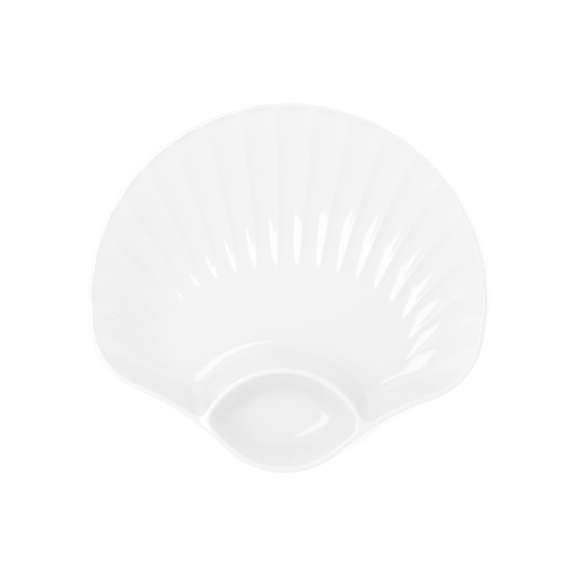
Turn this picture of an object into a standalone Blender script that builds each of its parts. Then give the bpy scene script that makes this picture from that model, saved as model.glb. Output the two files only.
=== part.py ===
# Shell shaped serving platter: one pressed and glazed porcelain body.
# Seen from above it is a scallop fan that runs down to a rounded tail. A curved divider
# parts the fluted main well from the small sauce bowl in the tail.
# Metres, +Z up, +Y towards the fan. The foot rings stand on z = 0, and the origin is
# under the middle of the outline.

import math

import bmesh
import bpy
import numpy as np

# Outline, seen from above
FAN_HALF_WIDTH = 0.1402
FAN_HEIGHT = 0.1384
TAIL_REACH = 0.1214
LOBE_START_ANGLE = math.radians(101.5)
LOBE_RADIUS = 0.0525
FLANK_RADIUS = 0.190
TAIL_RADIUS = 0.0595

# Wall, rim and feet
WALL = 0.0040
CREST_LAND = 0.0008
FOOT_HEIGHT = 0.0035
FOOT_WIDTH = 0.0040
FOOT_OUTSET = 0.0040
SAUCE_FOOT_OUTSET = 0.0040
FOOT_EDGE_RADIUS = 0.0008
FOOT_CORNER_RADIUS = 0.0030

# Main well
WELL_DEPTH = 0.0260
FAN_WALL_WIDTH = 0.1180
FLANK_WALL_WIDTH = 0.0243
DIVIDER_WALL_WIDTH = 0.0230
FLOOR_FLANK_RUN = 0.0076
FLOOR_SHOULDER_RADIUS = 0.0180
FLOOR_CORNER_RADIUS = 0.0100
NOTCH_RADIUS = 0.0085

# Divider and sauce bowl
DIVIDER_RADIUS = 0.0597
DIVIDER_SETBACK = 0.0720
SAUCE_DEPTH = 0.0220
SAUCE_CORNER_RADIUS = 0.0130
SAUCE_FLOOR_HALF_WIDTH = 0.0255
SAUCE_FLOOR_HALF_LENGTH = 0.0118
SAUCE_FLOOR_SETBACK = 0.0412

# Flutes
FLUTE_COUNT = 17
LAST_RIDGE_ANGLE = math.radians(94.6)
FLUTE_DEPTH = 0.0019
FLUTE_DEPTH_AT_RIM = 0.0006
FLUTE_DEEPEST_AT = 0.60
SCALLOP_DEPTH = 0.0006
RIDGE_SHARPNESS = 3.0
RIDGE_SWEEP = 0.0024
RIDGE_SWEEP_FLUTES = 4.5
RIDGE_SWEEP_LEAN = -0.25
RIDGE_FOOT_SPREAD = 0.056
RIDGE_FOOT_STEP = 0.09
RIDGE_RUN_OUT_SHARE = 0.25

# Share of each wall, from its foot, that curves before it runs straight
FAN_CURVED_SHARE = 0.73
STEEP_CURVED_SHARE = 1.0
SAUCE_CURVED_SHARE = 0.95

# Fineness of the mesh
STEPS_PER_FLUTE = 6
LOBE_STEPS = 14
NOTCH_STEPS = 5
DIVIDER_STEPS = 8
SAUCE_STEPS = 13
OUTLINE_STEPS = 12
TAIL_STEPS = 10
FOOT_STEPS = 12
LIP_STEPS = 3
ARC_STEPS = 40
ELLIPSE_STEPS = 80
RUN_OUT_STEPS = 8
SLOPE_STEP = 1e-4
NORMAL_PASSES = 4
MERGE_DISTANCE = 1e-6
WELL_STATIONS = (0.0, 0.09, 0.19, 0.31, 0.45, 0.62, 0.81, 1.0)
BODY_STATIONS = (0.0, 0.14, 0.30, 0.48, 0.72, 1.0)
SAUCE_STATIONS = (0.0, 0.17, 0.34, 0.52, 0.72, 1.0)

# Sizes that follow from the ones above
LIP_RADIUS = WALL / 2
MAIN_FLOOR_Z = FOOT_HEIGHT + WALL
RIM_Z = MAIN_FLOOR_Z + WELL_DEPTH
SAUCE_FLOOR_Z = RIM_Z - SAUCE_DEPTH
CREST_INSET = LIP_RADIUS + CREST_LAND
HALF_FLUTES = FLUTE_COUNT / 2
FLUTE_PITCH = LAST_RIDGE_ANGLE / HALF_FLUTES
OVERLAP = 0.002
CUTTER_RISE = 0.005


def point(x, y):
    return np.array([x, y], dtype=float)


def heading(vector):
    return math.atan2(vector[1], vector[0])


def arc(center, radius, toward_start, toward_end, turn):
    """Points of an arc about center; turn is +1 counterclockwise and -1 clockwise."""
    start = heading(toward_start)
    sweep = (turn * (heading(toward_end) - start)) % (2 * math.pi)
    angles = start + turn * np.linspace(0.0, sweep, ARC_STEPS + 1)
    return center + radius * np.stack([np.cos(angles), np.sin(angles)], axis=1)


def circles_meet(center_a, radius_a, center_b, radius_b, side):
    """The point that lies radius_a from center_a and radius_b from center_b."""
    between = center_b - center_a
    distance = np.linalg.norm(between)
    along = (radius_a ** 2 - radius_b ** 2 + distance ** 2) / (2 * distance)
    across = math.sqrt(radius_a ** 2 - along ** 2)
    direction = between / distance
    normal = point(-direction[1], direction[0])
    return center_a + direction * along + normal * side * across


def travelled(path):
    """The distance along the path at each of its points."""
    lengths = np.linalg.norm(np.diff(path, axis=0), axis=1)
    return np.concatenate([[0.0], np.cumsum(lengths)])


def along(path, stops):
    """Points at the given distances along the path."""
    return np.stack([np.interp(stops, travelled(path), path[:, axis]) for axis in (0, 1)], axis=1)


def evenly(path, steps):
    """The same path with its points spaced evenly."""
    return along(path, np.linspace(0.0, travelled(path)[-1], steps + 1))


def join_paths(*paths):
    """One path from several that share their end points."""
    pieces = [paths[0]] + [path[1:] for path in paths[1:]]
    return np.concatenate(pieces)


def mirrored(half):
    """A closed loop from its right half, which starts and ends on the centre line."""
    left = half[-2:0:-1] * point(-1, 1)
    return np.concatenate([half, left])


def on_fan(angles, inset):
    """Points of the fan's ellipse at angles from +Y, moved in by inset."""
    sines, cosines = np.sin(angles), np.cos(angles)
    reach = 1 / np.sqrt((sines / FAN_HALF_WIDTH) ** 2 + (cosines / FAN_HEIGHT) ** 2)
    points = np.stack([reach * sines, reach * cosines], axis=1)
    normals = points / point(FAN_HALF_WIDTH ** 2, FAN_HEIGHT ** 2)
    normals /= np.linalg.norm(normals, axis=1)[:, None]
    return points - normals * inset, normals


# Centres of the outline's tangent arcs, with the fan's centre at the origin
LOBE_JOIN, LOBE_NORMAL = (found[0] for found in on_fan(np.array([LOBE_START_ANGLE]), 0.0))
LOBE_CENTER = LOBE_JOIN - LOBE_NORMAL * LOBE_RADIUS
TAIL_CENTER = point(0, TAIL_RADIUS - TAIL_REACH)
FLANK_CENTER = circles_meet(
    LOBE_CENTER, LOBE_RADIUS + FLANK_RADIUS, TAIL_CENTER, TAIL_RADIUS + FLANK_RADIUS, 1)
DIVIDER_CENTER = point(0, DIVIDER_SETBACK - TAIL_REACH - DIVIDER_RADIUS)
MIDDLE_Y = (FAN_HEIGHT - TAIL_REACH) / 2
UP, DOWN = point(0, 1), point(0, -1)


def ridge_profile(flutes):
    """Rise across the flutes, counted from the centre line: 0 in a valley, 1 on a sharp ridge."""
    from_valley = 2 * np.abs(flutes - np.round(flutes))
    return from_valley ** RIDGE_SHARPNESS


def fan_path(flutes, inset):
    """The scalloped edge of the fan, drawn in at each ridge."""
    drawn_in = SCALLOP_DEPTH * ridge_profile(flutes)
    points, normals = on_fan(flutes * FLUTE_PITCH, inset)
    return points - normals * drawn_in[:, None]


def flute_stops():
    return np.linspace(0.0, HALF_FLUTES, int(HALF_FLUTES * STEPS_PER_FLUTE) + 1)


def lobe_path(inset):
    """From the last ridge to the end of the rounded shoulder below the fan."""
    start = np.linspace(LAST_RIDGE_ANGLE, LOBE_START_ANGLE, RUN_OUT_STEPS + 1)
    eased = SCALLOP_DEPTH * np.linspace(1.0, 0.0, start.size) ** 2
    points, normals = on_fan(start, inset)
    shoulder = arc(LOBE_CENTER, LOBE_RADIUS - inset, LOBE_NORMAL, FLANK_CENTER - LOBE_CENTER, -1)
    return join_paths(points - normals * eased[:, None], shoulder)


def outline_half(inset):
    flank = arc(FLANK_CENTER, FLANK_RADIUS + inset, LOBE_CENTER - FLANK_CENTER,
                TAIL_CENTER - FLANK_CENTER, 1)
    tail = arc(TAIL_CENTER, TAIL_RADIUS - inset, FLANK_CENTER - TAIL_CENTER, DOWN, -1)
    return join_paths(
        fan_path(flute_stops(), inset),
        evenly(lobe_path(inset), OUTLINE_STEPS),
        evenly(flank, OUTLINE_STEPS),
        evenly(tail, TAIL_STEPS))


def main_crest_half():
    """The inner edge of the rim's crest round the main well."""
    inner_flank = FLANK_RADIUS + CREST_INSET
    divider = DIVIDER_RADIUS + CREST_LAND / 2
    notch = circles_meet(FLANK_CENTER, inner_flank + NOTCH_RADIUS,
                         DIVIDER_CENTER, divider + NOTCH_RADIUS, -1)
    flank = arc(FLANK_CENTER, inner_flank, LOBE_CENTER - FLANK_CENTER, notch - FLANK_CENTER, 1)
    corner = arc(notch, NOTCH_RADIUS, FLANK_CENTER - notch, DIVIDER_CENTER - notch, -1)
    return join_paths(
        fan_path(flute_stops(), CREST_INSET),
        evenly(join_paths(lobe_path(CREST_INSET), flank), LOBE_STEPS),
        evenly(corner, NOTCH_STEPS),
        evenly(arc(DIVIDER_CENTER, divider, notch - DIVIDER_CENTER, UP, 1), DIVIDER_STEPS))


def quarter_ellipse(half_width, half_length, center_y):
    angles = np.linspace(0.0, math.pi / 2, ELLIPSE_STEPS + 1)
    return np.stack([half_width * np.sin(angles), center_y + half_length * np.cos(angles)], axis=1)


def floor_circles(inset, corner_radius):
    """Radii of the floor's edge along the flank and the divider, and the corner's centre."""
    flank = FLANK_RADIUS + CREST_INSET + FLANK_WALL_WIDTH + inset
    divider = DIVIDER_RADIUS + CREST_LAND / 2 + DIVIDER_WALL_WIDTH + inset
    corner = circles_meet(FLANK_CENTER, flank + corner_radius,
                          DIVIDER_CENTER, divider + corner_radius, -1)
    return flank, divider, corner


def floor_shoulder():
    """Centre of the arc that ends the floor's run along the flank, above its lower corner."""
    flank, _, corner = floor_circles(0.0, FLOOR_CORNER_RADIUS)
    angle = heading(corner - FLANK_CENTER) - FLOOR_FLANK_RUN / flank
    return FLANK_CENTER + (flank + FLOOR_SHOULDER_RADIUS) * point(math.cos(angle), math.sin(angle))


def main_floor_half(steps, inset=0.0, corner_radius=FLOOR_CORNER_RADIUS):
    """The edge of the main well's flat floor, moved in by inset."""
    fan_steps, lobe_steps, notch_steps, divider_steps = steps
    flank, divider, corner = floor_circles(inset, corner_radius)
    shoulder = floor_shoulder()
    shoulder_radius = FLOOR_SHOULDER_RADIUS - inset
    rise = FAN_HEIGHT - FAN_WALL_WIDTH - shoulder[1] - inset
    fan = quarter_ellipse(shoulder[0] + shoulder_radius, rise, shoulder[1])
    edge = join_paths(
        fan,
        arc(shoulder, shoulder_radius, point(1, 0), FLANK_CENTER - shoulder, -1),
        arc(FLANK_CENTER, flank, shoulder - FLANK_CENTER, corner - FLANK_CENTER, 1))
    # The ridges stand a little wider apart along the floor than even spacing gives
    flutes = np.linspace(0.0, HALF_FLUTES, fan_steps + 1)
    spaced = flutes * (1 + RIDGE_FOOT_SPREAD) + RIDGE_FOOT_STEP * np.tanh(flutes)
    fan_stops = spaced * travelled(fan)[-1] / HALF_FLUTES
    side_stops = np.linspace(fan_stops[-1], travelled(edge)[-1], lobe_steps + 1)
    bend = arc(corner, corner_radius, FLANK_CENTER - corner, DIVIDER_CENTER - corner, -1)
    foot = arc(DIVIDER_CENTER, divider, corner - DIVIDER_CENTER, UP, 1)
    return join_paths(
        along(edge, fan_stops),
        along(edge, side_stops),
        evenly(bend, notch_steps),
        evenly(foot, divider_steps))


def sauce_crest_half():
    """The inner edge of the crest round the sauce bowl, from the divider to the tail."""
    divider = DIVIDER_RADIUS - CREST_LAND / 2
    flank = FLANK_RADIUS + CREST_INSET
    corner = circles_meet(FLANK_CENTER, flank + SAUCE_CORNER_RADIUS,
                          DIVIDER_CENTER, divider - SAUCE_CORNER_RADIUS, -1)
    from_divider = corner - DIVIDER_CENTER
    upper = join_paths(
        arc(DIVIDER_CENTER, divider, UP, from_divider, -1),
        arc(corner, SAUCE_CORNER_RADIUS, from_divider, point(1, 0), -1))
    lower = join_paths(
        arc(corner, SAUCE_CORNER_RADIUS, point(1, 0), FLANK_CENTER - corner, -1),
        arc(FLANK_CENTER, flank, corner - FLANK_CENTER, TAIL_CENTER - FLANK_CENTER, 1),
        arc(TAIL_CENTER, TAIL_RADIUS - CREST_INSET, FLANK_CENTER - TAIL_CENTER, DOWN, -1))
    return join_paths(evenly(upper, SAUCE_STEPS), evenly(lower, SAUCE_STEPS))


def sauce_floor_half(steps, inset=0.0):
    """The edge of the sauce bowl's floor, an ellipse moved in by inset."""
    center_y = SAUCE_FLOOR_SETBACK - TAIL_REACH
    upper = evenly(quarter_ellipse(
        SAUCE_FLOOR_HALF_WIDTH - inset, SAUCE_FLOOR_HALF_LENGTH - inset, center_y), steps)
    lower = upper[::-1] * point(1, -1) + point(0, 2 * center_y)
    return join_paths(upper, lower)


class Well:
    """A bowl's inner wall, as a surface over the share of the way from floor to crest."""

    def __init__(self, floor, crest, floor_z, curved, ridge, sweep):
        self.floor = mirrored(floor)
        self.crest = mirrored(crest)
        self.floor_z = floor_z
        self.curved = self.both_sides(curved)
        self.ridge = self.both_sides(ridge)
        self.sweep = self.both_sides(sweep) * np.where(self.crest[:, 0] < 0, -1, 1)
        self.top_normal = self.first_normals()
        for _ in range(NORMAL_PASSES):
            self.top_normal = self.normals(1.0, ridged=False)

    @staticmethod
    def both_sides(half):
        return np.concatenate([half, half[-2:0:-1]])

    def first_normals(self):
        outward = self.crest - self.floor
        outward /= np.linalg.norm(outward, axis=1)[:, None]
        return np.concatenate([-outward, np.ones((len(outward), 1))], axis=1) / math.sqrt(2)

    def wall_top(self):
        """Where the straight wall meets the rounded lip, whose crest stays level."""
        place = self.crest + LIP_RADIUS * self.top_normal[:, :2]
        height = RIM_Z - LIP_RADIUS * (1 - self.top_normal[:, 2])
        return place, height

    def ridge_height(self, share):
        """Height of the ridges over the valleys, deepest part way up the wall."""
        if share < FLUTE_DEEPEST_AT:
            near = share / FLUTE_DEEPEST_AT
            return FLUTE_DEPTH * near * (2 - near)
        far = (share - FLUTE_DEEPEST_AT) / (1 - FLUTE_DEEPEST_AT)
        return FLUTE_DEPTH - (FLUTE_DEPTH - FLUTE_DEPTH_AT_RIM) * far ** 2

    def ring(self, share, ridged=True):
        top, top_z = self.wall_top()
        fluted = self.ridge > 0
        valley_top = top_z - FLUTE_DEPTH_AT_RIM * np.where(self.ridge >= 0, 1.0, 0.0)
        slope = 1 / (1 - self.curved / 2)
        rise = np.where(share < self.curved,
                        slope * share ** 2 / (2 * self.curved),
                        slope * (share - self.curved / 2))
        height = self.floor_z + (valley_top - self.floor_z) * rise
        if ridged:
            height = height + np.where(fluted, self.ridge, 0.0) * self.ridge_height(share)
        chord = top - self.floor
        side = np.stack([-chord[:, 1], chord[:, 0]], axis=1)
        side /= np.linalg.norm(side, axis=1)[:, None]
        # The bow to the side is nothing at either end, and the lean moves its middle up or down
        lean = 1 + RIDGE_SWEEP_LEAN * (1 - 2 * share)
        bow = self.sweep * 4 * share * (1 - share) * lean
        place = self.floor + chord * share + side * bow[:, None]
        return np.concatenate([place, height[:, None]], axis=1)

    def normals(self, share, ridged=True):
        ring = self.ring(share, ridged)
        up_wall = ring - self.ring(share - SLOPE_STEP, ridged)
        around = np.roll(ring, -1, axis=0) - np.roll(ring, 1, axis=0)
        normals = np.cross(up_wall, around)
        normals *= np.where(normals[:, 2] < 0, -1, 1)[:, None]
        return normals / np.linalg.norm(normals, axis=1)[:, None]

    def lip_rings(self):
        """The rounded lip, from the top of the wall to the level crest."""
        wall_end = self.ring(1.0)
        place, height = self.wall_top()
        plain_end = np.concatenate([place, height[:, None]], axis=1)
        center = plain_end - LIP_RADIUS * self.top_normal
        rings = []
        for step in range(1, LIP_STEPS + 1):
            share = step / LIP_STEPS
            direction = self.top_normal * (1 - share) + np.array([0.0, 0.0, 1.0]) * share
            direction /= np.linalg.norm(direction, axis=1)[:, None]
            dip = (wall_end - plain_end) * (1 - share)
            rings.append(center + LIP_RADIUS * direction + dip)
        return rings

    def cutter_rings(self, stations):
        rings = [self.ring(share) for share in stations] + self.lip_rings()
        return rings + [rings[-1] + np.array([0.0, 0.0, CUTTER_RISE])]

    def body_rings(self, stations):
        """The underside, one wall thickness outside the well, closed off inside the rim."""
        rings = [self.ring(0.0) - np.array([0.0, 0.0, WALL])]
        for share in stations[1:]:
            rings.append(self.ring(share) - WALL * self.normals(share))
        closing = self.crest.copy()
        level = np.full((len(closing), 1), RIM_Z - LIP_RADIUS)
        return rings + [np.concatenate([closing, level], axis=1)]


def main_well():
    flutes = flute_stops()
    fan = ridge_profile(flutes)
    lobe_share = np.linspace(0.0, 1.0, LOBE_STEPS + 1)[1:]
    # Past the last ridge its outer side runs out into the plain shoulder
    runs_out = np.clip(1 - lobe_share / RIDGE_RUN_OUT_SHARE, 0.0, 1.0) ** 2
    plain = np.zeros(NOTCH_STEPS + DIVIDER_STEPS)
    ridge = np.concatenate([fan, runs_out, plain])
    curved = np.concatenate([
        np.full(flutes.size, FAN_CURVED_SHARE),
        FAN_CURVED_SHARE + (STEEP_CURVED_SHARE - FAN_CURVED_SHARE) * lobe_share,
        np.full(plain.size, STEEP_CURVED_SHARE)])
    fan_sweep = RIDGE_SWEEP * np.tanh(flutes / RIDGE_SWEEP_FLUTES)
    sweep = np.concatenate([fan_sweep, fan_sweep[-1] * (1 - lobe_share) ** 2, plain])
    floor = main_floor_half((flutes.size - 1, LOBE_STEPS, NOTCH_STEPS, DIVIDER_STEPS))
    return Well(floor, main_crest_half(), MAIN_FLOOR_Z, curved, ridge, sweep)


def sauce_well():
    floor = sauce_floor_half(SAUCE_STEPS)
    count = len(floor)
    return Well(floor, sauce_crest_half(), SAUCE_FLOOR_Z,
                np.full(count, SAUCE_CURVED_SHARE), np.full(count, -1.0), np.zeros(count))


def new_object(name, mesh, collection):
    made = bpy.data.objects.new(name, mesh)
    collection.objects.link(made)
    return made


def lofted(name, rings, collection):
    """A closed solid through the rings, which all have the same number of points."""
    build = bmesh.new()
    shift = np.array([0.0, MIDDLE_Y, 0.0])
    loops = [[build.verts.new(place - shift) for place in ring] for ring in rings]
    for lower, upper in zip(loops, loops[1:]):
        for here in range(len(lower)):
            after = (here + 1) % len(lower)
            build.faces.new((lower[here], lower[after], upper[after], upper[here]))
    build.faces.new(loops[0][::-1])
    build.faces.new(loops[-1])
    bmesh.ops.recalc_face_normals(build, faces=build.faces)
    mesh = bpy.data.meshes.new(name)
    build.to_mesh(mesh)
    build.free()
    mesh.shade_smooth()
    return new_object(name, mesh, collection)


def plate(name, outlines, bottom, top, edge_radius, collection):
    """A flat plate with rounded edges; the second outline, if there is one, is its hole."""
    curve = bpy.data.curves.new(name, "CURVE")
    curve.dimensions = "2D"
    curve.fill_mode = "BOTH"
    curve.extrude = (top - bottom) / 2 - edge_radius
    curve.bevel_depth = edge_radius
    curve.bevel_resolution = 1
    for outline in outlines:
        spline = curve.splines.new("POLY")
        spline.points.add(len(outline) - 1)
        for spot, (x, y) in zip(spline.points, outline):
            spot.co = (x, y - MIDDLE_Y, 0.0, 1.0)
        spline.use_cyclic_u = True
    drawn = new_object(name + "_outline", curve, collection)
    drawn.location.z = (bottom + top) / 2
    bpy.context.view_layer.update()
    evaluated = drawn.evaluated_get(bpy.context.evaluated_depsgraph_get())
    mesh = bpy.data.meshes.new_from_object(evaluated)
    mesh.transform(drawn.matrix_world)
    bpy.data.objects.remove(drawn)
    bpy.data.curves.remove(curve)
    build = bmesh.new()
    build.from_mesh(mesh)
    bmesh.ops.remove_doubles(build, verts=build.verts, dist=MERGE_DISTANCE)
    bmesh.ops.recalc_face_normals(build, faces=build.faces)
    build.to_mesh(mesh)
    build.free()
    mesh.shade_smooth()
    mesh.name = name
    return new_object(name, mesh, collection)


def rim_plate(collection):
    """The whole outline at the height of the rim, with a half-round edge."""
    outline = mirrored(outline_half(LIP_RADIUS))
    return plate("rim_plate", [outline], RIM_Z - WALL, RIM_Z, LIP_RADIUS, collection)


def main_foot(collection):
    steps = (FOOT_STEPS, FOOT_STEPS // 2, NOTCH_STEPS, FOOT_STEPS // 2)
    outer_inset = FOOT_EDGE_RADIUS - FOOT_OUTSET
    inner_inset = FOOT_WIDTH - FOOT_EDGE_RADIUS - FOOT_OUTSET
    outer = mirrored(main_floor_half(steps, outer_inset, FOOT_CORNER_RADIUS))
    inner = mirrored(main_floor_half(steps, inner_inset, FOOT_CORNER_RADIUS))
    top = MAIN_FLOOR_Z - WALL + OVERLAP
    return plate("main_foot", [outer, inner], 0.0, top, FOOT_EDGE_RADIUS, collection)


def sauce_foot(collection):
    outer_inset = FOOT_EDGE_RADIUS - SAUCE_FOOT_OUTSET
    inner_inset = FOOT_WIDTH - FOOT_EDGE_RADIUS - SAUCE_FOOT_OUTSET
    outer = mirrored(sauce_floor_half(FOOT_STEPS // 2, outer_inset))
    inner = mirrored(sauce_floor_half(FOOT_STEPS // 2, inner_inset))
    top = SAUCE_FLOOR_Z - WALL + OVERLAP
    return plate("sauce_foot", [outer, inner], 0.0, top, FOOT_EDGE_RADIUS, collection)


def combine(body, other, operation):
    modifier = body.modifiers.new(other.name, "BOOLEAN")
    modifier.operation = operation
    modifier.object = other
    modifier.solver = "EXACT"
    other.hide_render = True
    other.display_type = "WIRE"


def glazed_porcelain():
    material = bpy.data.materials.new("glazed_porcelain")
    material.use_nodes = True
    surface = material.node_tree.nodes["Principled BSDF"]
    surface.inputs["Base Color"].default_value = (0.88, 0.88, 0.88, 1.0)
    surface.inputs["Roughness"].default_value = 0.08
    surface.inputs["Metallic"].default_value = 0.0
    return material


def new_collection(name):
    made = bpy.data.collections.new(name)
    bpy.context.scene.collection.children.link(made)
    return made


def main():
    for leftover in list(bpy.data.objects):
        bpy.data.objects.remove(leftover)
    parts = new_collection("shell_platter")
    cutters = new_collection("cutters")

    main_bowl, sauce_bowl = main_well(), sauce_well()
    body = lofted("shell_platter", main_bowl.body_rings(BODY_STATIONS), parts)
    combine(body, lofted("sauce_shell", sauce_bowl.body_rings(SAUCE_STATIONS), cutters), "UNION")
    combine(body, rim_plate(cutters), "UNION")
    combine(body, main_foot(cutters), "UNION")
    combine(body, sauce_foot(cutters), "UNION")
    combine(body, lofted("main_well", main_bowl.cutter_rings(WELL_STATIONS), cutters), "DIFFERENCE")
    combine(body, lofted("sauce_well", sauce_bowl.cutter_rings(SAUCE_STATIONS), cutters), "DIFFERENCE")
    body.data.materials.append(glazed_porcelain())


main()
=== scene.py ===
import math

import bmesh
import bpy
import numpy as np
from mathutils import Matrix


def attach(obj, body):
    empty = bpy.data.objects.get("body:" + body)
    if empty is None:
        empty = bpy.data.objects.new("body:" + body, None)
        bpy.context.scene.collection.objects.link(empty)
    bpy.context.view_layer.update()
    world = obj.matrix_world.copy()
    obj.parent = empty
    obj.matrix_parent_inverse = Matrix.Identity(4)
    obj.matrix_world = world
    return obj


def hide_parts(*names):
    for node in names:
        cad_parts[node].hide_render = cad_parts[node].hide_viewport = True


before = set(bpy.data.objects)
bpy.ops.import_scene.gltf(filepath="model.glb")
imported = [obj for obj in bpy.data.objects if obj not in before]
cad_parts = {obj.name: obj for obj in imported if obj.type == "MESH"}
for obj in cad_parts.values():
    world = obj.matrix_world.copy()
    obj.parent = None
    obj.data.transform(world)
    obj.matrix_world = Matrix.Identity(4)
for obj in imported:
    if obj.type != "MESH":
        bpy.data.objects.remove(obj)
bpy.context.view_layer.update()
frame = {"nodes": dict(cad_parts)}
print("frame loaded:", ", ".join(frame["nodes"]))

# Every size of the platter, from above first, then its section and its flutes
size = {
    "fanHalfWidth": 0.1402, "fanHeight": 0.1384, "tailReach": 0.1214,
    "shoulderStart": 101.5, "shoulderRadius": 0.0525,      # degrees from the top of the fan
    "flankRadius": 0.190, "tailRadius": 0.0595,
    "wall": 0.0040, "crestLand": 0.0008,
    "wellDepth": 0.0260, "fanWallWidth": 0.1180,
    "flankWallWidth": 0.0243, "dividerWallWidth": 0.0230,
    "floorFlankRun": 0.0076, "floorShoulderRadius": 0.0180,
    "floorCornerRadius": 0.0100, "notchRadius": 0.0085,
    "dividerRadius": 0.0597, "dividerSetback": 0.0720,
    "sauceDepth": 0.0220, "sauceCornerRadius": 0.0130,
    "sauceFloorHalfWidth": 0.0255, "sauceFloorHalfLength": 0.0118,
    "sauceFloorSetback": 0.0412,
    "fluteCount": 17, "lastRidge": 94.6,                   # degrees from the top of the fan
    "fluteDepth": 0.0019, "fluteDepthAtRim": 0.0006, "fluteDeepestAt": 0.60,
    "ridgeSoftness": 0.13, "ridgeSharpness": 3.0, "scallopDepth": 0.0006,
    "ridgeSweep": 0.0024, "ridgeSweepFlutes": 4.5, "ridgeSweepLean": -0.25, "ridgeRunOut": 0.25,
    "ridgeFootSpread": 0.056, "ridgeFootStep": 0.09,       # in flutes, per flute and past the first
    "fanCurved": 0.73, "steepCurved": 1.0, "sauceCurved": 0.95,  # share of the wall that curves
    "footHeight": 0.0035, "footWidth": 0.0040,
    "footOutset": 0.0040, "sauceFootOutset": 0.0040,       # how far out of the floor's edge
    "footEdge": 0.0008, "footOverlap": 0.002, "footCorner": 0.0030,
    "hollowRise": 0.005,                                   # how far the hollows reach over the rim
}

# How finely the curves are drawn
steps = {
    "arc": 160, "ellipse": 240, "shoulderStart": 24,
    "perFlute": 20, "shoulder": 56, "notch": 18, "divider": 34, "sauce": 44, "edge": 40,
    "mainFoot": (40, 20, 10, 20), "sauceFoot": 20, "footEdge": 6,
    "wall": 34, "outside": 22, "lip": 8, "rim": 15,
    "crowding": 1.25,                                      # draws the rings together at the floor
    "normalPasses": 4, "slopeStep": 1e-4, "mergeDistance": 1e-6,
}

lip = size["wall"] / 2
mainFloorZ = size["footHeight"] + size["wall"]
rimZ = mainFloorZ + size["wellDepth"]
sauceFloorZ = rimZ - size["sauceDepth"]
crestInset = lip + size["crestLand"]
halfFlutes = size["fluteCount"] / 2
flutePitch = math.radians(size["lastRidge"]) / halfFlutes
middleY = (size["fanHeight"] - size["tailReach"]) / 2


# Curves in plan, with the middle of the fan at the origin
def spot(x, y):
    return np.array([x, y], dtype=float)


def heading(vector):
    return math.atan2(vector[1], vector[0])


def arcPath(center, radius, towardStart, towardEnd, turn):
    start = heading(towardStart)
    sweep = (turn * (heading(towardEnd) - start)) % (2 * math.pi)
    angles = start + turn * np.linspace(0.0, sweep, steps["arc"])
    return center + radius * np.stack([np.cos(angles), np.sin(angles)], axis=1)


def circlesMeet(centerA, radiusA, centerB, radiusB, side):
    between = centerB - centerA
    distance = np.linalg.norm(between)
    along = (radiusA ** 2 - radiusB ** 2 + distance ** 2) / (2 * distance)
    direction = between / distance
    across = spot(-direction[1], direction[0]) * math.sqrt(radiusA ** 2 - along ** 2)
    return centerA + direction * along + side * across


def travelled(path):
    return np.concatenate([[0.0], np.cumsum(np.linalg.norm(np.diff(path, axis=0), axis=1))])


def pathLength(path):
    return travelled(path)[-1]


def along(path, stops):
    return np.stack([np.interp(stops, travelled(path), path[:, axis]) for axis in (0, 1)], axis=1)


def evenly(path, count):
    return along(path, np.linspace(0.0, pathLength(path), count + 1))


def joinPaths(*paths):
    return np.concatenate([paths[0]] + [path[1:] for path in paths[1:]])


def mirrored(half):
    return np.concatenate([half, half[-2:0:-1] * spot(-1, 1)])


def bothSides(half):
    return np.concatenate([half, half[-2:0:-1]])


def onFan(angles, inset):
    sines, cosines = np.sin(angles), np.cos(angles)
    reach = 1 / np.sqrt((sines / size["fanHalfWidth"]) ** 2 + (cosines / size["fanHeight"]) ** 2)
    points = np.stack([reach * sines, reach * cosines], axis=1)
    normals = points / spot(size["fanHalfWidth"] ** 2, size["fanHeight"] ** 2)
    normals /= np.linalg.norm(normals, axis=1)[:, None]
    return points - normals * inset, normals


up, down, right = spot(0, 1), spot(0, -1), spot(1, 0)
shoulderStart = np.array([math.radians(size["shoulderStart"])])
joinPoint, joinNormal = (found[0] for found in onFan(shoulderStart, 0.0))
shoulderCenter = joinPoint - joinNormal * size["shoulderRadius"]
tailCenter = spot(0, size["tailRadius"] - size["tailReach"])
flankCenter = circlesMeet(shoulderCenter, size["shoulderRadius"] + size["flankRadius"],
                          tailCenter, size["tailRadius"] + size["flankRadius"], 1)
dividerCenter = spot(0, size["dividerSetback"] - size["tailReach"] - size["dividerRadius"])


def ridgeProfile(flutes):
    # 0 in a valley, 1 on a ridge whose top is a little rounded
    fromRidge = 1 - 2 * np.abs(flutes - np.round(flutes))
    soft = size["ridgeSoftness"]
    eased = (np.sqrt(fromRidge ** 2 + soft ** 2) - soft) / (math.sqrt(1 + soft ** 2) - soft)
    return (1 - eased) ** size["ridgeSharpness"]


def fluteStops():
    return np.linspace(0.0, halfFlutes, int(halfFlutes * steps["perFlute"]) + 1)


def fanPath(inset):
    flutes = fluteStops()
    points, normals = onFan(flutes * flutePitch, inset)
    return points - normals * (size["scallopDepth"] * ridgeProfile(flutes))[:, None]


def shoulderPath(inset):
    angles = np.radians(np.linspace(size["lastRidge"], size["shoulderStart"], steps["shoulderStart"]))
    eased = size["scallopDepth"] * np.linspace(1.0, 0.0, angles.size) ** 2
    points, normals = onFan(angles, inset)
    turn = arcPath(shoulderCenter, size["shoulderRadius"] - inset, joinNormal,
                   flankCenter - shoulderCenter, -1)
    return joinPaths(points - normals * eased[:, None], turn)


def outlineHalf(inset):
    flank = arcPath(flankCenter, size["flankRadius"] + inset, shoulderCenter - flankCenter,
                    tailCenter - flankCenter, 1)
    tail = arcPath(tailCenter, size["tailRadius"] - inset, flankCenter - tailCenter, down, -1)
    count = steps["edge"]
    return joinPaths(fanPath(inset), evenly(shoulderPath(inset), count),
                     evenly(flank, count), evenly(tail, count))


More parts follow.
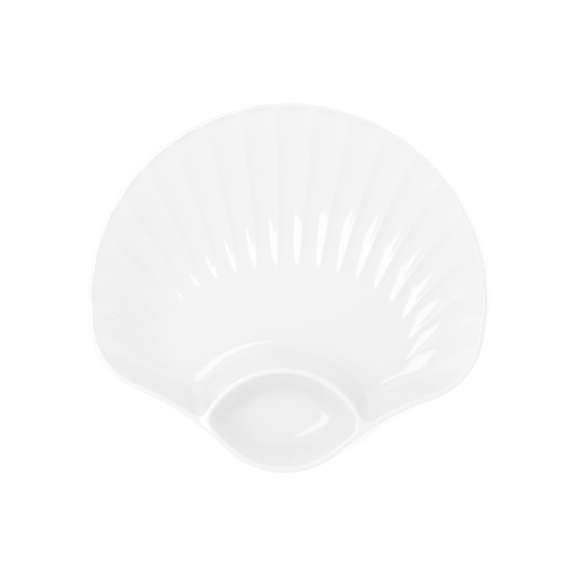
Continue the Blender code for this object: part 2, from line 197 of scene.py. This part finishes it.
def mainCrestHalf():
    innerFlank = size["flankRadius"] + crestInset
    divider = size["dividerRadius"] + size["crestLand"] / 2
    notch = circlesMeet(flankCenter, innerFlank + size["notchRadius"],
                        dividerCenter, divider + size["notchRadius"], -1)
    flank = arcPath(flankCenter, innerFlank, shoulderCenter - flankCenter, notch - flankCenter, 1)
    corner = arcPath(notch, size["notchRadius"], flankCenter - notch, dividerCenter - notch, -1)
    return joinPaths(
        fanPath(crestInset),
        evenly(joinPaths(shoulderPath(crestInset), flank), steps["shoulder"]),
        evenly(corner, steps["notch"]),
        evenly(arcPath(dividerCenter, divider, notch - dividerCenter, up, 1), steps["divider"]))


def quarterEllipse(halfWidth, halfLength, centerY):
    angles = np.linspace(0.0, math.pi / 2, steps["ellipse"])
    return np.stack([halfWidth * np.sin(angles), centerY + halfLength * np.cos(angles)], axis=1)


def floorCircles(inset, cornerRadius):
    flank = size["flankRadius"] + crestInset + size["flankWallWidth"] + inset
    divider = size["dividerRadius"] + size["crestLand"] / 2 + size["dividerWallWidth"] + inset
    corner = circlesMeet(flankCenter, flank + cornerRadius, dividerCenter, divider + cornerRadius, -1)
    return flank, divider, corner


def mainFloorHalf(counts, inset, cornerRadius):
    flank, _, corner = floorCircles(0.0, size["floorCornerRadius"])
    angle = heading(corner - flankCenter) - size["floorFlankRun"] / flank
    away = flank + size["floorShoulderRadius"]
    shoulder = flankCenter + away * spot(math.cos(angle), math.sin(angle))
    radius = size["floorShoulderRadius"] - inset
    flank, divider, corner = floorCircles(inset, cornerRadius)
    rise = size["fanHeight"] - size["fanWallWidth"] - shoulder[1] - inset
    fanCount, sideCount, cornerCount, dividerCount = counts
    ellipse = quarterEllipse(shoulder[0] + radius, rise, shoulder[1])
    edge = joinPaths(ellipse, arcPath(shoulder, radius, right, flankCenter - shoulder, -1),
                     arcPath(flankCenter, flank, shoulder - flankCenter, corner - flankCenter, 1))
    # The ridges stand a little wider apart along the floor than even spacing gives
    flutes = np.linspace(0.0, halfFlutes, fanCount + 1)
    stops = flutes * (1 + size["ridgeFootSpread"]) + size["ridgeFootStep"] * np.tanh(flutes)
    stops *= pathLength(ellipse) / halfFlutes
    sideStops = np.linspace(stops[-1], pathLength(edge), sideCount + 1)
    turn = arcPath(corner, cornerRadius, flankCenter - corner, dividerCenter - corner, -1)
    return joinPaths(
        along(edge, stops),
        along(edge, sideStops),
        evenly(turn, cornerCount),
        evenly(arcPath(dividerCenter, divider, corner - dividerCenter, up, 1), dividerCount))


def sauceCrestHalf():
    divider = size["dividerRadius"] - size["crestLand"] / 2
    flank = size["flankRadius"] + crestInset
    corner = circlesMeet(flankCenter, flank + size["sauceCornerRadius"],
                         dividerCenter, divider - size["sauceCornerRadius"], -1)
    upper = joinPaths(arcPath(dividerCenter, divider, up, corner - dividerCenter, -1),
                      arcPath(corner, size["sauceCornerRadius"], corner - dividerCenter, right, -1))
    tail = size["tailRadius"] - crestInset
    lower = joinPaths(arcPath(corner, size["sauceCornerRadius"], right, flankCenter - corner, -1),
                      arcPath(flankCenter, flank, corner - flankCenter, tailCenter - flankCenter, 1),
                      arcPath(tailCenter, tail, flankCenter - tailCenter, down, -1))
    return joinPaths(evenly(upper, steps["sauce"]), evenly(lower, steps["sauce"]))


def sauceFloorHalf(count, inset):
    centerY = size["sauceFloorSetback"] - size["tailReach"]
    upper = evenly(quarterEllipse(size["sauceFloorHalfWidth"] - inset,
                                  size["sauceFloorHalfLength"] - inset, centerY), count)
    return joinPaths(upper, upper[::-1] * spot(1, -1) + spot(0, 2 * centerY))


# The wall of a well, ring by ring from its floor to its crest
class Well:
    def __init__(self, floor, crest, floorZ, curved, ridge, sweep):
        self.floor, self.crest, self.floorZ = mirrored(floor), mirrored(crest), floorZ
        self.curved, self.ridge = bothSides(curved), bothSides(ridge)
        self.sweep = bothSides(sweep) * np.where(self.crest[:, 0] < 0, -1, 1)
        outward = self.crest - self.floor
        outward /= np.linalg.norm(outward, axis=1)[:, None]
        level = np.ones((len(outward), 1))
        self.topNormal = np.concatenate([-outward, level], axis=1) / math.sqrt(2)
        for _ in range(steps["normalPasses"]):
            self.topNormal = self.normals(1.0, False)

    def wallTop(self):
        place = self.crest + lip * self.topNormal[:, :2]
        return place, rimZ - lip * (1 - self.topNormal[:, 2])

    def ridgeHeight(self, share):
        deepest, most, least = size["fluteDeepestAt"], size["fluteDepth"], size["fluteDepthAtRim"]
        if share < deepest:
            near = share / deepest
            return most * near * (2 - near)
        return most - (most - least) * ((share - deepest) / (1 - deepest)) ** 2

    def ring(self, share, ridged=True):
        top, topZ = self.wallTop()
        valleyTop = topZ - size["fluteDepthAtRim"] * np.where(self.ridge >= 0, 1.0, 0.0)
        slope = 1 / (1 - self.curved / 2)
        rise = np.where(share < self.curved, slope * share ** 2 / (2 * self.curved),
                        slope * (share - self.curved / 2))
        height = self.floorZ + (valleyTop - self.floorZ) * rise
        if ridged:
            height = height + np.maximum(self.ridge, 0.0) * self.ridgeHeight(share)
        chord = top - self.floor
        side = np.stack([-chord[:, 1], chord[:, 0]], axis=1)
        side /= np.linalg.norm(side, axis=1)[:, None]
        bow = 4 * share * (1 - share) * (1 + size["ridgeSweepLean"] * (1 - 2 * share))
        place = self.floor + chord * share + side * (self.sweep * bow)[:, None]
        return np.concatenate([place, height[:, None]], axis=1)

    def normals(self, share, ridged=True):
        here = self.ring(share, ridged)
        upWall = here - self.ring(share - steps["slopeStep"], ridged)
        around = np.roll(here, -1, axis=0) - np.roll(here, 1, axis=0)
        normals = np.cross(upWall, around)
        normals *= np.where(normals[:, 2] < 0, -1, 1)[:, None]
        return normals / np.linalg.norm(normals, axis=1)[:, None]

    def hollowRings(self):
        rings = [self.ring(share) for share in np.linspace(0.0, 1.0, steps["wall"]) ** steps["crowding"]]
        wallEnd = rings[-1]
        place, height = self.wallTop()
        plainEnd = np.concatenate([place, height[:, None]], axis=1)
        center = plainEnd - lip * self.topNormal
        for share in np.arange(1, steps["lip"] + 1) / steps["lip"]:
            direction = self.topNormal * (1 - share) + np.array([0.0, 0.0, 1.0]) * share
            direction /= np.linalg.norm(direction, axis=1)[:, None]
            rings.append(center + lip * direction + (wallEnd - plainEnd) * (1 - share))
        return rings + [rings[-1] + np.array([0.0, 0.0, size["hollowRise"]])]

    def outsideRings(self):
        rings = [self.ring(0.0) - np.array([0.0, 0.0, size["wall"]])]
        for share in np.linspace(0.0, 1.0, steps["outside"])[1:] ** steps["crowding"]:
            rings.append(self.ring(share) - size["wall"] * self.normals(share))
        level = np.full((len(self.crest), 1), rimZ - lip)
        return rings + [np.concatenate([self.crest, level], axis=1)]


def mainWell():
    flutes = fluteStops()
    counts = (flutes.size - 1, steps["shoulder"], steps["notch"], steps["divider"])
    share = np.linspace(0.0, 1.0, steps["shoulder"] + 1)[1:]
    plain = np.zeros(steps["notch"] + steps["divider"])
    runOut = np.clip(1 - share / size["ridgeRunOut"], 0.0, 1.0) ** 2
    ridge = np.concatenate([ridgeProfile(flutes), runOut, plain])
    curved = np.concatenate([
        np.full(flutes.size, size["fanCurved"]),
        size["fanCurved"] + (size["steepCurved"] - size["fanCurved"]) * share,
        np.full(plain.size, size["steepCurved"])])
    fanSweep = size["ridgeSweep"] * np.tanh(flutes / size["ridgeSweepFlutes"])
    sweep = np.concatenate([fanSweep, fanSweep[-1] * (1 - share) ** 2, plain])
    return Well(mainFloorHalf(counts, 0.0, size["floorCornerRadius"]), mainCrestHalf(),
                mainFloorZ, curved, ridge, sweep)


def sauceWell():
    floor = sauceFloorHalf(steps["sauce"], 0.0)
    count = len(floor)
    return Well(floor, sauceCrestHalf(), sauceFloorZ,
                np.full(count, size["sauceCurved"]), np.full(count, -1.0), np.zeros(count))


# A circle is drawn and extruded ring by ring, and each ring is set in its place
def setRing(verts, ring):
    for vert, place in zip(verts, ring):
        vert.co = (place[0], place[1] - middleY, place[2])


def solidFromRings(name, rings, looped=False):
    build = bmesh.new()
    verts = bmesh.ops.create_circle(build, segments=len(rings[0]), radius=1.0)["verts"]
    setRing(verts, rings[0])
    edges = list(build.edges)
    firstEdges = list(edges)
    for ring in rings[1:] + (rings[:1] if looped else []):
        made = bmesh.ops.extrude_edge_only(build, edges=edges)["geom"]
        newVerts = {vert for vert in made if isinstance(vert, bmesh.types.BMVert)}
        verts = [next(edge.other_vert(vert) for edge in vert.link_edges
                      if edge.other_vert(vert) in newVerts) for vert in verts]
        setRing(verts, ring)
        edges = [edge for edge in made if isinstance(edge, bmesh.types.BMEdge)
                 and edge.verts[0] in newVerts and edge.verts[1] in newVerts]
    if looped:
        bmesh.ops.remove_doubles(build, verts=build.verts, dist=steps["mergeDistance"])
    else:
        bmesh.ops.edgenet_fill(build, edges=firstEdges)
        bmesh.ops.edgenet_fill(build, edges=edges)
    bmesh.ops.recalc_face_normals(build, faces=build.faces)
    mesh = bpy.data.meshes.new(name)
    build.to_mesh(mesh)
    build.free()
    mesh.shade_smooth()
    made = bpy.data.objects.new(name, mesh)
    bpy.context.scene.collection.objects.link(made)
    return made


def rimRings():
    rings = []
    for angle in np.linspace(-math.pi / 2, math.pi / 2, steps["rim"]):
        loop = mirrored(outlineHalf(lip - lip * math.cos(angle)))
        level = np.full((len(loop), 1), rimZ - lip + lip * math.sin(angle))
        rings.append(np.concatenate([loop, level], axis=1))
    return rings


def footRings(loopAt, floorZ):
    # Its section runs down the outside, round the two edges and up the inside
    edge, width = size["footEdge"], size["footWidth"]
    turns = np.linspace(0.0, math.pi / 2, steps["footEdge"])
    top = floorZ - size["wall"] + size["footOverlap"]
    section = [(0.0, top)]
    section += [(edge - edge * math.cos(turn), edge - edge * math.sin(turn)) for turn in turns]
    section += [(width - edge + edge * math.sin(turn), edge - edge * math.cos(turn)) for turn in turns]
    section += [(width, top)]
    rings = []
    for inset, z in section:
        loop = loopAt(inset)
        rings.append(np.concatenate([loop, np.full((len(loop), 1), z)], axis=1))
    return rings


def mainFootLoop(inset):
    return mirrored(mainFloorHalf(steps["mainFoot"], inset - size["footOutset"], size["footCorner"]))


def sauceFootLoop(inset):
    return mirrored(sauceFloorHalf(steps["sauceFoot"], inset - size["sauceFootOutset"]))


def combine(body, other, operation, crossing=False):
    modifier = body.modifiers.new(other.name, "BOOLEAN")
    modifier.operation = operation
    modifier.object = other
    modifier.solver = "EXACT"
    modifier.use_self = crossing
    return other


# Without leave for crossing faces, the union with the main foot comes out empty
mainBowl, sauceBowl = mainWell(), sauceWell()
body = solidFromRings("glazedPlatter", mainBowl.outsideRings())
helpers = [
    combine(body, solidFromRings("sauceShell", sauceBowl.outsideRings()), "UNION"),
    combine(body, solidFromRings("rimPlate", rimRings()), "UNION"),
    combine(body, solidFromRings("mainFoot", footRings(mainFootLoop, mainFloorZ), True), "UNION", True),
    combine(body, solidFromRings("sauceFoot", footRings(sauceFootLoop, sauceFloorZ), True), "UNION"),
    combine(body, solidFromRings("mainHollow", mainBowl.hollowRings()), "DIFFERENCE"),
    combine(body, solidFromRings("sauceHollow", sauceBowl.hollowRings()), "DIFFERENCE"),
]
print("solids drawn")
bpy.context.view_layer.update()
finished = bpy.data.meshes.new_from_object(body.evaluated_get(bpy.context.evaluated_depsgraph_get()))
body.modifiers.clear()
body.data = finished
finished.name = "glazedPlatter"
for helper in helpers:
    bpy.data.objects.remove(helper)
finished.shade_smooth()
print("platter joined:", len(finished.polygons), "faces")


# A node's output, wrapped so that shader maths reads as plain expressions
class Socket:
    def __init__(self, tree, output):
        self.tree, self.output = tree, output

    def maths(self, operation, *values):
        node = self.tree.nodes.new("ShaderNodeMath")
        node.operation = operation
        for slot, value in zip(node.inputs, values):
            if isinstance(value, Socket):
                self.tree.links.new(value.output, slot)
            else:
                slot.default_value = value
        return Socket(self.tree, node.outputs[0])

    def __add__(self, other):
        return self.maths("ADD", self, other)

    def __radd__(self, other):
        return self.maths("ADD", other, self)

    def __sub__(self, other):
        return self.maths("SUBTRACT", self, other)

    def __rsub__(self, other):
        return self.maths("SUBTRACT", other, self)

    def __mul__(self, other):
        return self.maths("MULTIPLY", self, other)

    def __rmul__(self, other):
        return self.maths("MULTIPLY", other, self)

    def atLeast(self, other):
        return self.maths("MAXIMUM", self, other)

    def under(self, edge):
        return self.maths("LESS_THAN", self, edge)


class Shader:
    def __init__(self, tree):
        self.tree = tree
        tree.nodes.clear()

    def node(self, kind, settings=None, **links):
        made = self.tree.nodes.new(kind)
        for name, value in (settings or {}).items():
            setattr(made, name, value)
        for name, value in links.items():
            byNumber = name[1:].isdigit()          # i6 is input 6, Base_Color is the input Base Color
            slot = made.inputs[int(name[1:]) if byNumber else name.replace("_", " ")]
            if isinstance(value, Socket):
                self.tree.links.new(value.output, slot)
            else:
                slot.default_value = value
        return made

    def value(self, kind, output=0, settings=None, **links):
        return Socket(self.tree, self.node(kind, settings, **links).outputs[output])


glaze = {
    "color": (0.88, 0.88, 0.88, 1.0), "pooled": (0.868, 0.870, 0.872, 1.0),
    "bare": (0.80, 0.785, 0.75, 1.0), "bareHeight": 0.0004,
    "roughness": 0.07, "roughnessSpread": 0.03, "bareRoughness": 0.6,
    "waveScale": 42.0, "waveHeight": 0.00022, "peelScale": 700.0, "peelHeight": 0.000004,
    "reliefDetail": 1.0, "cloudScale": 26.0, "cloudDetail": 3.0,
    "ior": 1.7, "specular": 0.8,
}


def glazedPorcelain():
    material = bpy.data.materials.new("glazedPorcelain")
    material.use_nodes = True
    shader = Shader(material.node_tree)
    place = shader.value("ShaderNodeTexCoord", "Object")
    wave = shader.value("ShaderNodeTexNoise", Vector=place, Scale=glaze["waveScale"],
                        Detail=glaze["reliefDetail"])
    peel = shader.value("ShaderNodeTexNoise", Vector=place, Scale=glaze["peelScale"],
                        Detail=glaze["reliefDetail"])
    cloud = shader.value("ShaderNodeTexNoise", Vector=place, Scale=glaze["cloudScale"],
                         Detail=glaze["cloudDetail"])
    height = shader.value("ShaderNodeSeparateXYZ", 2, Vector=place)
    bare = height.under(glaze["bareHeight"])       # the ground edge of the feet has no glaze
    colors = {"data_type": "RGBA"}
    tone = shader.value("ShaderNodeMix", 2, colors, i0=cloud, i6=glaze["color"], i7=glaze["pooled"])
    color = shader.value("ShaderNodeMix", 2, colors, i0=bare, i6=tone, i7=glaze["bare"])
    glossy = glaze["roughness"] + (cloud - 0.5) * glaze["roughnessSpread"]
    roughness = glossy * (1 - bare) + bare * glaze["bareRoughness"]
    relief = wave * glaze["waveHeight"] + peel * glaze["peelHeight"]
    bump = shader.value("ShaderNodeBump", Height=relief, Distance=1.0, Strength=1.0)
    surface = shader.value("ShaderNodeBsdfPrincipled", Base_Color=color, Roughness=roughness,
                           Normal=bump, IOR=glaze["ior"], Specular_IOR_Level=glaze["specular"])
    shader.node("ShaderNodeOutputMaterial", Surface=surface)
    return material


body.data.materials.clear()
body.data.materials.append(glazedPorcelain())
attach(body, "root")
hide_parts("shell_platter")
print("platter glazed")

# Powers are in watts; the side panels stand round the platter, the soft box hangs over it
studio = {
    "floorSize": 3.0, "floorColor": (0.86, 0.86, 0.86, 1.0), "floorGlow": 0.30,
    "white": (1.0, 1.0, 1.0, 1.0),
    "ambient": 0.895, "background": 1.0,
    "boxPlace": (-0.73, 0.34, 1.34), "boxSize": (1.09, 1.41), "boxPower": 4.0,
    "panelPlace": (1.3, 0.32), "panelSize": (1.8, 0.5), "panelPower": 0.55,
    "panelTurns": (45, 135, 225, 315),
    "cameraHeight": 1.25, "cameraTurn": 2.01, "pixel": 0.0007, "pixels": 576,
}


def seen(shader):
    ray = shader.node("ShaderNodeLightPath")
    names = ("Is Camera Ray", "Is Glossy Ray", "Is Transmission Ray")
    seenStraight, inGloss, through = (Socket(shader.tree, ray.outputs[name]) for name in names)
    return seenStraight.atLeast(inGloss).atLeast(through)


def paleFloor():
    material = bpy.data.materials.new("paleFloor")
    material.use_nodes = True
    shader = Shader(material.node_tree)
    matte = shader.value("ShaderNodeBsdfDiffuse", Color=studio["floorColor"])
    strength = seen(shader) * studio["floorGlow"]
    glow = shader.value("ShaderNodeEmission", Color=studio["white"], Strength=strength)
    both = shader.value("ShaderNodeAddShader", i0=matte, i1=glow)
    shader.node("ShaderNodeOutputMaterial", Surface=both)
    return material


floorBuild = bmesh.new()
bmesh.ops.create_grid(floorBuild, x_segments=1, y_segments=1, size=studio["floorSize"])
floorMesh = bpy.data.meshes.new("paleFloor")
floorBuild.to_mesh(floorMesh)
floorBuild.free()
floor = bpy.data.objects.new("paleFloor", floorMesh)
bpy.context.scene.collection.objects.link(floor)
floorMesh.materials.append(paleFloor())

world = bpy.data.worlds.new("studio")
world.use_nodes = True
bpy.context.scene.world = world
sky = Shader(world.node_tree)
level = seen(sky) * (studio["background"] - studio["ambient"]) + studio["ambient"]
backdrop = sky.value("ShaderNodeBackground", Color=studio["white"], Strength=level)
sky.node("ShaderNodeOutputWorld", Surface=backdrop)


def lampPanel(name, extent, power, place):
    light = bpy.data.lights.new(name, "AREA")
    light.shape = "RECTANGLE"
    light.size, light.size_y = extent
    light.energy = power
    panel = bpy.data.objects.new(name, light)
    panel.location = place
    panel.visible_camera = False
    bpy.context.scene.collection.objects.link(panel)
    return panel


lampPanel("softBox", studio["boxSize"], studio["boxPower"], studio["boxPlace"])
away, above = studio["panelPlace"]
for turn in studio["panelTurns"]:
    angle = math.radians(turn)
    place = (away * math.sin(angle), away * math.cos(angle), above)
    sidePanel = lampPanel("sidePanel", studio["panelSize"], studio["panelPower"], place)
    sidePanel.rotation_euler = (math.pi / 2, 0.0, math.pi - angle)

lens = bpy.data.cameras.new("camera")
camera = bpy.data.objects.new("camera", lens)
camera.location = (0.0, 0.0, rimZ + studio["cameraHeight"])
camera.rotation_euler = (0.0, 0.0, math.radians(studio["cameraTurn"]))
lens.lens = lens.sensor_width * studio["cameraHeight"] / (studio["pixel"] * studio["pixels"])
bpy.context.scene.collection.objects.link(camera)
bpy.context.scene.camera = camera
bpy.context.scene.view_settings.view_transform = "Standard"
print("studio lit")
